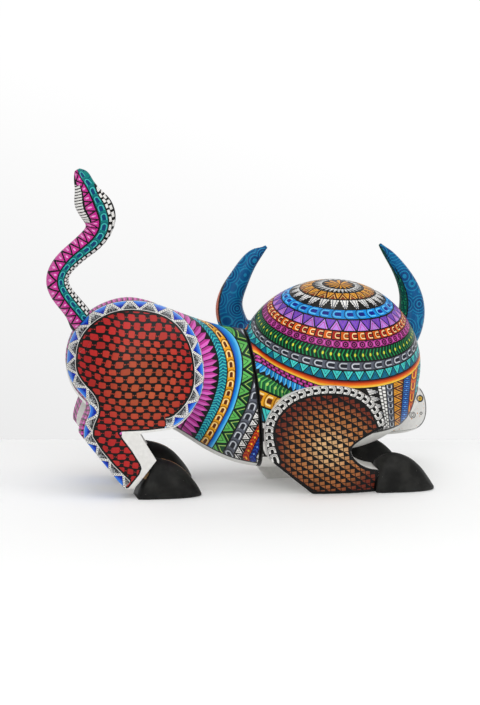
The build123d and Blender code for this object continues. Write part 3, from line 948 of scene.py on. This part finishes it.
def front_leg(side, shift, knee_x):
    """A front leg with its distances to the outline's decorated part and to its plain part. Its throat is
    hollowed a little deeper than the node's."""
    piece = carved(f"front_{side}_leg_carving", f"front_{side}_leg", "carving", 0.9)
    points, _ = store_outward(piece)
    flat = points[:, [0, 2]] - [shift, 0]
    edge, along = distance_to(flat, smooth_line(FRONT_OUTLINE, 90))
    under_side = np.array([(95, 0), (knee_x, 0), (9, 27)], float)
    gap, _ = distance_to(flat, np.concatenate([smooth_line(FRONT_THROAT, 40), under_side]))
    store(piece, edge=edge, along=along, plain=gap)
    throat_depth, throat_z, throat_half, throat_start, throat_blend = 4.5, 37, 9, 58, 16
    bend = np.exp(-(((points[:, 2] - throat_z) / throat_half) ** 2))
    points[:, 0] -= throat_depth * bend * ease((flat[:, 0] - throat_start) / throat_blend)
    move_points(piece, points)
    return piece


def draw_rear_leg():
    """The thigh's paint, with a rope of beads over the rump, a beaded back and plain white elsewhere."""
    x, _, z = place()
    colour, height = draw_thigh(x, z)
    behind = over(field("backward"), 0.45) * under(x, -108) + under(x, -112)
    beyond = paint(behind * over(z, 34), WHITE, draw_beads())
    rope = under(field("edge"), ROPE_WIDE) * over(z, 42) * higher(under(x, -100), over(z, 90))
    beyond = paint(rope, beyond, draw_rope())
    colour = paint(under(field("inside"), 0.0), colour, beyond)
    return paint(under(field("outward"), -0.55) * under(z, 120), colour, WHITE), height


def draw_weave(x, y, z):
    """Squares and triangles by turns on black, paler at the middle. Returns their colour and places."""
    sway = cloud(joined(x, y, z), 0.03) * 1.2
    across, rise = tilted_cells(x, z, WEAVE_TILT, WEAVE_WIDE, WEAVE_TALL, sway)
    row, column = floor(rise), floor(across)
    a, b = fract(across), fract(rise)
    parity = over(fract((row + column) * 0.5), 0.25)
    square = near(a, 0.5, 0.41) * near(b, 0.5, 0.39)
    corner = over(a + b, 1.16) * under(a, 0.93) * under(b, 0.92)
    weave = square * parity + corner * (1 - parity)
    from_middle = length((x - WEAVE_MIDDLE[0]) / WEAVE_REACH, (z - WEAVE_MIDDLE[1]) / WEAVE_REACH)
    wood = paint(ramp_up(from_middle, 0.1, 0.5), rgb(214, 172, 122), rgb(178, 112, 62))
    wood = paint(ramp_up(from_middle, 0.5, 0.85), wood, rgb(116, 46, 30))
    tone = speckle(column, row) * 0.34 + 0.8
    return paint(weave, BLACK, shade(wood, tone)), weave


def draw_loops(edge, along):
    """The front leg's ribbon: white loops in a row on black."""
    c, a = edge / LOOPS_WIDE, fract(along / LOOP_LONG)
    bow = length(higher(a - 0.38, 0.0) * 1.05, c - 0.5)
    return coats(
        WHITE,
        (under(bow, 0.19) * under(a, 0.56), BLACK),
        (near(bow, 0.33, 0.03) * over(a, 0.3) + over(bow, 0.44) * over(a, 0.3), BLACK),
        (near(bow, 0.52, 0.035) * over(a, 0.5), WHITE),
        (over(size_of(c - 0.5), 0.44), BLACK),
    )


def draw_front_leg():
    """The weave inside its ribbon, black lines round both, and white on the edge and inner side."""
    edge, plain, outward = field("edge"), field("plain"), field("outward")
    colour, weave = draw_weave(*place())
    colour = coats(
        colour,
        (under(edge, LOOPS_WIDE), draw_loops(edge, field("along"))),
        (near(edge, LOOPS_WIDE + 0.6, 0.9), BLACK),
        (under(plain, 2.6) * over(edge, 3.0), BLACK),
    )
    walls = under(outward, 0.4) * under(lower(edge, plain), 1.4)
    return paint(walls + under(outward, -0.5), colour, WHITE), weave


# The left legs stand a little forward or back of the right ones, and the left knee reaches further back.
REAR_SHIFTS, FRONT_SHIFTS = {"right": 0, "left": 4}, {"right": 0, "left": -10}
KNEES = {"right": 42, "left": 27}
rear_look = material("rear_leg_paint", draw_rear_leg)
front_look = material("front_leg_paint", draw_front_leg)
for side, shift in REAR_SHIFTS.items():
    finish_piece(rear_leg(side, shift), rear_look)
for side, shift in FRONT_SHIFTS.items():
    finish_piece(front_leg(side, shift, KNEES[side]), front_look)


# -------------------- hooves
HOOF_MID_Y = 40
HOOF_HALF, CREST_HALF = 17.2, 1.2
REAR_HOOF_TOP = [(-84, 31.5), (-72, 28.5), (-61.5, 22.5), (-53.5, 14), (-48, 6), (-46, 2)]
FRONT_HOOF_TOP = [
    (95, 24), (100, 28), (108, 30), (116, 28.5), (125, 24), (133, 16.5), (139, 8), (142.5, 2.5),
]
# Each hoof's back, as its x at the floor.
REAR_HOOF_BACK, FRONT_HOOF_BACK = -98.5, 94


def draw_hoof():
    x, y, z = place()
    point = joined(x, y, z)
    smear = cloud(point, 0.07, 5.0)
    colour = paint(ramp_up(smear, 0.35, 0.65), rgb(20, 20, 19), rgb(40, 40, 38))
    scuff = cells(point, 0.35)
    colour = paint(under(scuff, 0.1) * over(cloud(point, 0.11), 0.58), colour, rgb(96, 92, 88))
    worn = under(field("crest"), 0.5) * over(cloud(point, 0.2, 3.0), 0.42)
    return paint(worn, colour, rgb(146, 104, 66)), smear


def hoof_half(share, rise, z):
    """Half the hoof's width: share runs from its back to its toe and rise from the floor to the crest."""
    sole_round = 2.6
    half = HOOF_HALF * min(1, 0.9 + share) * sqrt(max(1 - max((share - 0.35) / 0.66, 0) ** 2.4, 0.02))
    half *= max(1 - rise**2.4, 0) ** 0.72
    return max(half - 1.6 * (1 - sqrt(max(1 - (max(sole_round - z, 0) / sole_round) ** 2, 0))), 0)


def hoof_ring(share, top_x, height, back_x):
    """A hoof's cross-section: up one side to its crest, down into the cleft and the same mirrored."""
    levels = 22
    half_ring = []
    for k in range(levels + 1):
        rise = sin(pi / 2 * k / levels)
        z = height * rise
        across = CREST_HALF * rise + hoof_half(share, rise, z)
        half_ring.append((back_x + (top_x - back_x) * rise, across, z))
    groove = height * (0.16 + 0.5 * max((share - 0.5) / 0.5, 0))
    ring = [(x, -across, z) for x, across, z in half_ring]
    ring.append((half_ring[-1][0], 0, half_ring[-1][2] - groove))
    return ring + half_ring[::-1]


def hoof(name, top_line, back, sign, shift, wear):
    """A cloven hoof with a crest on each side of its cleft, where its black paint may be worn."""
    top = smooth_line(top_line, 46)
    no_crest = 3
    vertices, faces, crest = [], [], []
    for step, (top_x, height) in enumerate(top):
        share = step / (len(top) - 1)
        ring = hoof_ring(share, top_x, height, back + (top[-1][0] - back) * share)
        vertices += [(x + shift, sign * HOOF_MID_Y + across, z) for x, across, z in ring]
        on_crest = wear and share > 0.12
        crest += [abs(across) - CREST_HALF if on_crest and z > 4 else no_crest for _, across, z in ring]
    row = len(ring)
    for i in range(len(top) - 1):
        for j in range(row - 1):
            first = i * row + j
            faces.append((first, first + row, first + row + 1, first + 1))
        faces.append((i * row + row - 1, (i + 1) * row + row - 1, (i + 1) * row, i * row))
    faces.append(tuple(range(row)))
    faces.append(tuple(reversed(range((len(top) - 1) * row, len(top) * row))))
    piece = built(f"{name}_carving", "carving", vertices, faces, name)
    store(piece, crest=crest)
    return piece


hoof_look = material("hoof_paint", draw_hoof, roughness=0.5, coat=0.03)
for side, sign in (("right", -1), ("left", 1)):
    rear = hoof(f"rear_{side}_hoof", REAR_HOOF_TOP, REAR_HOOF_BACK, sign, REAR_SHIFTS[side], True)
    front = hoof(f"front_{side}_hoof", FRONT_HOOF_TOP, FRONT_HOOF_BACK, sign, FRONT_SHIFTS[side], False)
    finish_piece(rear, hoof_look)
    finish_piece(front, hoof_look)


# -------------------- horns and ears
def draw_horn():
    """Fine blue rings on the side towards the camera, salmon or green spots on the other."""
    x, y, z = place()
    point = joined(x, y, z)
    ripple = cells(joined(x, y * 0.2, z), 0.075, jitter=0.9)
    line = near(fract(ripple * 6.5), 0.5, 0.17)
    blue = paint(ramp_up(ripple, 0.1, 0.8), rgb(6, 60, 116), rgb(6, 92, 146))
    blue = paint(line, blue, rgb(22, 128, 172))
    salmon = paint(over(cells(point, 0.45), 0.35), rgb(168, 84, 66), rgb(214, 124, 100))
    green = paint(under(cells(point, 0.5, jitter=0.5), 0.3), rgb(8, 84, 76), rgb(40, 160, 110))
    left_horn_back, line_wide = 60, 0.08
    other = paint(over(x, left_horn_back), salmon, green)
    colour = paint(over(field("side"), 0.0), blue, BLACK)
    return paint(over(field("side"), line_wide), colour, other), line


def draw_ear():
    point = joined(*place())
    spots_apart = cells(point, 0.3)
    colour = paint(under(spots_apart, 0.16), WHITE, BLACK)
    return paint(over(cloud(point, 0.25), 0.62), colour, PINK), spots_apart


horn_look = material("horn_paint", draw_horn)
# How far a face must turn to the bull's back before it counts as the horn's other side.
for side, limit in (("left", 0.82), ("right", 0.42)):
    horn = carved(f"{side}_horn_carving", f"{side}_horn", f"{side}_horn", 0.6, 4)
    _, normals = spots(horn)
    store(horn, side=-normals[:, 0] - limit - 0.25 * (normals[:, 2] < -0.2))
    finish_piece(horn, horn_look)
ear_look = material("ear_paint", draw_ear)
for side in ("left", "right"):
    ear = carved(f"{side}_ear_carving", f"{side}_ear", f"{side}_ear", 0.5)
    finish_piece(ear, ear_look)


# -------------------- tail
# "side" counts round the tail: 0 to 1 on its magenta face, 1 to 2 on the teal and 2 to 3 on the white.
TUFT_Z, TUFT_HALF = 231, 15


def draw_magenta(side, along):
    """Triangles from both edges on black, each with a pale dot. Returns their colour and places."""
    swing = size_of(fract(along / 7.8) - 0.5) * 2
    low_dot = length((swing - 1) * 2.4, (side - 0.34) * 3.2)
    high_dot = length(swing * 2.4, (side - 0.7) * 3.2)
    pink = paint(ramp_up(side, 0.1, 0.9), rgb(206, 84, 160), rgb(196, 36, 140))
    pink = paint(under(lower(low_dot, high_dot), 0.42), pink, rgb(238, 164, 214))
    triangles = over(size_of(side - 0.1 - swing * 0.8), 0.13)
    return paint(triangles, BLACK, pink), triangles


def draw_teal(side, along):
    """Arches with dark blue middles."""
    cell = fract(along / 7.2)
    bow = length(higher(cell - 0.42, 0.0) * 1.2, side - 1.5)
    return coats(
        rgb(4, 122, 118),
        (under(bow, 0.2), rgb(2, 62, 110)),
        (near(bow, 0.29, 0.05), rgb(70, 190, 186)),
        (near(bow, 0.47, 0.03) * over(cell, 0.45), DEEP_TEAL),
    )


def draw_blocks(side, along):
    """Two rows of white blocks on black."""
    rows = (side - 2) * 2.2
    block = near(fract(along / 4.6 + floor(rows) * 0.5), 0.5, 0.33) * near(fract(rows), 0.5, 0.4)
    return paint(block, BLACK, WHITE)


def draw_tail():
    """A face of each kind with black lines between them, and a white tuft with black hatching."""
    _, _, z = place()
    side, along = field("side"), field("along")
    tuft = near(z, TUFT_Z, TUFT_HALF)
    colour, triangles = draw_magenta(side, along)
    colour = coats(
        colour,
        (tuft * near(side, 0.42, 0.06), BLACK),
        (over(side, 1.0), draw_teal(side, along)),
        (over(side, 2.0), draw_blocks(side, along)),
        (near(fract(side + 0.5), 0.5, 0.075), BLACK),
    )
    hatching = paint(near(fract(along / 2.4), 0.5, 0.17), WHITE, BLACK)
    return paint(tuft * under(side, 0.36), colour, hatching), triangles


# The tail's middle line, as x and z, from its root.
TAIL_LINE = [
    (-131, 131), (-140, 143), (-150, 156), (-155.5, 170), (-149, 183.5), (-136, 195),
    (-125, 205), (-121, 215), (-124, 228), (-130, 243), (-136, 258), (-137, 262),
]


def tail_piece():
    """The tail with its fields, its tuft drawn out and its tip slimmed."""
    piece = carved("tail_carving", "tail", "tail", 0.7)
    points, _ = spots(piece)
    line = smooth_line(TAIL_LINE, 240)
    _, along = distance_to(points[:, [0, 2]], line)
    steps = np.concatenate([[0], np.cumsum(np.linalg.norm(np.diff(line, axis=0), axis=1))])
    nearest = np.clip(np.searchsorted(steps, along), 0, len(line) - 1)
    tangents = np.gradient(line, axis=0)[nearest]
    tangents /= np.linalg.norm(tangents, axis=1)[:, None]
    away_x, away_z = (points[:, [0, 2]] - line[nearest]).T
    across = away_x * tangents[:, 1] - away_z * tangents[:, 0]
    share = across / np.interp(along, [0, 60, 95, 120, 150], [9.5, 9, 12, 12, 4])
    side = np.interp(share, [-1.0, -0.1, 0.5, 1.0], [0.06, 1, 2, 2.94])
    tip_side = np.interp(share, [-1.0, 0.0, 1.0], [0.06, 1, 1.9])
    side += (tip_side - side) * ease((points[:, 2] - 236) / 12)
    store(piece, along=along, side=side)
    tuft_out, tip_back, tip_slim = 4, 3.4, 0.22
    tuft = np.exp(-(((points[:, 2] - 230) / 11) ** 2)) * np.clip(1 - side, 0, 1)
    tip = ease((points[:, 2] - 232) / 24)
    centre_x = np.interp(points[:, 2], [232, 262], [-126, -137])
    points[:, 0] -= tuft_out * tuft + tip_back * tip + tip_slim * tip * (points[:, 0] - centre_x)
    move_points(piece, points)
    return piece


finish_piece(tail_piece(), material("tail_paint", draw_tail))


# -------------------- bare wood
def draw_wood():
    x, y, z = place()
    grain = cloud(joined(x * 0.25, y, z), 0.9, 5.0)
    return paint(ramp_up(grain, 0.3, 0.7), rgb(196, 150, 100), rgb(222, 186, 138)), grain


wood_look = material("bare_wood", draw_wood, roughness=0.6, coat=0.0)
PEGS = [f"{name}_peg" for name in ("left_horn", "right_horn", "left_ear", "right_ear", "tail")]
for node in ("neck_dowel", "leg_dowels", "hoof_dowels", *PEGS):
    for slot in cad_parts[node].material_slots:
        slot.material = wood_look


# -------------------- studio
# In metres. The floor's far edge is turned so that it looks level to the camera.
FLOOR_CORNERS = [(-4, -3, 0), (4, -3, 0), (4, -0.436, 0), (-4, 0.831, 0)]
WALL_CORNERS = [(-9, 6.5, -4), (9, 6.5, -4), (9, 6.5, 6), (-9, 6.5, 6)]
FLOOR_DROP = 0.0002
SURROUND = 0.44
# Each light's place, width and power.
LIGHTS = {
    "key": ((-0.4, -1.4, 1.1), 1.0, 6.6),
    "top": ((0.1, -0.35, 1.6), 1.2, 9.5),
    "fill": ((1.2, -1.1, 0.6), 0.9, 3),
}
FRAME_HEIGHT, SENSOR = 0.564, 36


def sheet(name, look_name, corners, colour, roughness):
    """A flat sheet of the studio whose material glows white. Returns the material's shader."""
    mesh = bpy.data.meshes.new(name)
    mesh.from_pydata([(x, y, z - FLOOR_DROP) for x, y, z in corners], [], [(0, 1, 2, 3)])
    made = bpy.data.objects.new(name, mesh)
    bpy.context.collection.objects.link(made)
    look = bpy.data.materials.new(look_name)
    look.use_nodes = True
    mesh.materials.append(look)
    Pen.tree = look.node_tree
    shader = Pen.tree.nodes["Principled BSDF"]
    shader.inputs["Base Color"].default_value = colour
    shader.inputs["Roughness"].default_value = roughness
    shader.inputs["Emission Color"].default_value = (1, 1, 1, 1)
    return shader


def studio():
    """A pale floor like a table top, a bright wall far behind it, soft lights and a bright surround."""
    shader = sheet("floor", "pale_floor", FLOOR_CORNERS, (0.93, 0.935, 0.93, 1), 0.7)
    shader.inputs["Emission Strength"].default_value = 0.1
    shader = sheet("wall", "bright_wall", WALL_CORNERS, (0, 0, 0, 1), 1)
    x, _, z = row_place()
    # The wall's glow grows upwards and a little to the right.
    glow = z * 0.23 + x * 0.075 + 1.041
    plug(shader.inputs["Emission Strength"], higher(lower(glow, 1.0), 0.5))
    world = bpy.data.worlds.new("surround")
    bpy.context.scene.world = world
    world.use_nodes = True
    background = world.node_tree.nodes["Background"]
    background.inputs["Color"].default_value = (1, 1, 1, 1)
    background.inputs["Strength"].default_value = SURROUND
    for name, (spot, width, power) in LIGHTS.items():
        soft_light(name, Vector(spot), width, power)


def soft_light(name, spot, width, power):
    """A square light aimed at the bull's middle."""
    data = bpy.data.lights.new(name, "AREA")
    data.size = width
    data.energy = power
    lamp = bpy.data.objects.new(name, data)
    bpy.context.collection.objects.link(lamp)
    lamp.location = spot
    lamp.rotation_euler = (Vector((0, 0, 0.1)) - spot).to_track_quat("-Z", "Y").to_euler()


def camera():
    """A long lens from the bull's right, a little behind it and above it."""
    distance = CAMERA_DISTANCE * MM
    back = Vector(camera_back())
    data = bpy.data.cameras.new("camera")
    data.lens = SENSOR * distance / FRAME_HEIGHT
    eye = bpy.data.objects.new("camera", data)
    bpy.context.collection.objects.link(eye)
    eye.location = Vector((CAMERA_TARGET + SLIDE) * MM) + back * distance
    eye.rotation_euler = (-back).to_track_quat("-Z", "Y").to_euler()
    bpy.context.scene.camera = eye


studio()
camera()
bpy.context.scene.view_settings.view_transform = "Standard"
